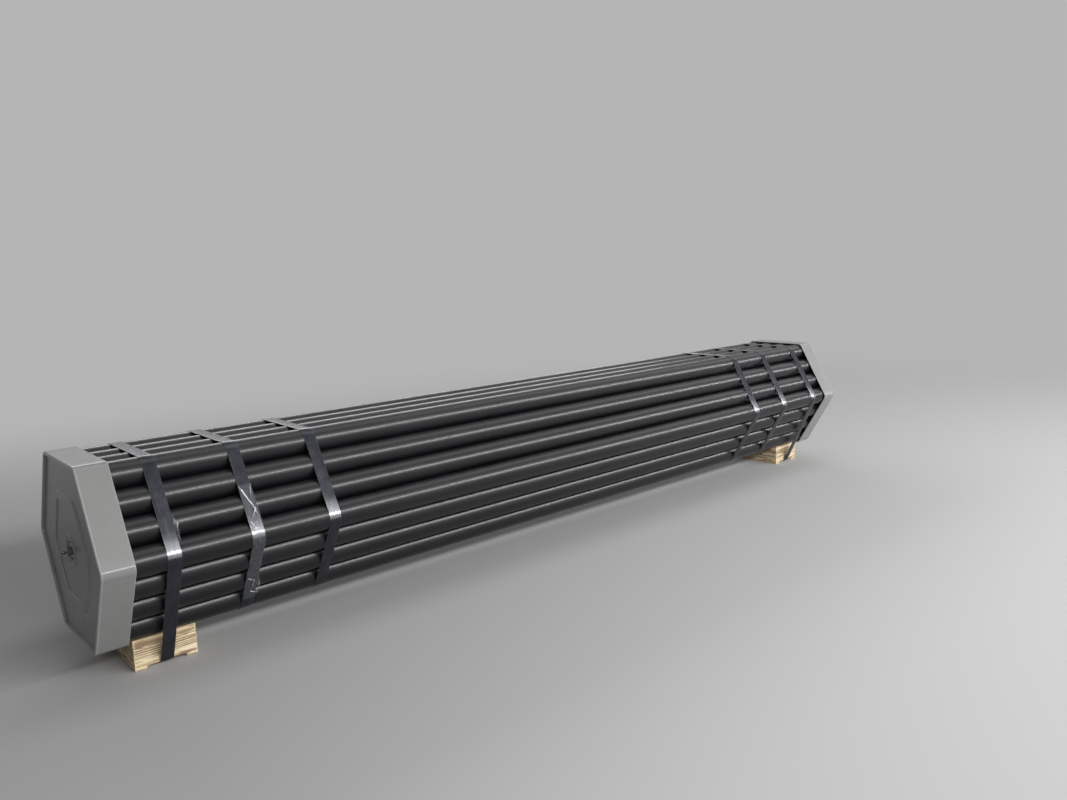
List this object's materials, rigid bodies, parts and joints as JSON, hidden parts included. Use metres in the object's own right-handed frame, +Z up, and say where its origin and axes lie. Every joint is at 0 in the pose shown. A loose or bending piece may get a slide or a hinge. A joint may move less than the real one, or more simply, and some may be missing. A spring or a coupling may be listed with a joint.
{
  "type": "bundle of steel pipes",
  "caption": "Hexagonal bundle of black coated steel pipes with moulded end caps, flat steel straps and laminated wooden bearers underneath.",
  "frame": {"origin": "on the floor under the middle of the bundle", "axes": "+X along the pipes, from the left cap to the right one; +Y away from the viewer; +Z up"},
  "size_m": [3.054, 0.5068, 0.5181],
  "materials": {
    "pipe_coating": "black factory coating, satin, with a light film of dust",
    "cap_plastic": "grey moulded plastic, satin",
    "strap_steel": "blued steel strapping, semi-gloss",
    "bearer_wood": "raw laminated veneer, sawn edges",
    "zinc_steel": "zinc-plated steel",
    "clear_film": "clear plastic film, crinkled"
  },
  "bodies": {
    "root": {"pipe_row_1": "pipe_coating", "pipe_row_2": "pipe_coating", "pipe_row_3": "pipe_coating", "pipe_row_4": "pipe_coating", "pipe_row_5": "pipe_coating", "pipe_row_6": "pipe_coating", "pipe_row_7": "pipe_coating", "end_cap_left": "cap_plastic", "end_cap_right": "cap_plastic", "tie_rod": "zinc_steel", "washers": "zinc_steel", "nuts": "zinc_steel", "strap_1": "strap_steel", "strap_2": "strap_steel", "strap_3": "strap_steel", "strap_4": "strap_steel", "strap_5": "strap_steel", "strap_6": "strap_steel", "strap_seal_1": "strap_steel", "strap_seal_2": "strap_steel", "strap_seal_3": "strap_steel", "strap_seal_4": "strap_steel", "strap_seal_5": "strap_steel", "strap_seal_6": "strap_steel", "bearer_left": "bearer_wood", "bearer_right": "bearer_wood", "film_strip": "clear_film", "film_scrap": "clear_film"}
  },
  "joints": []
}
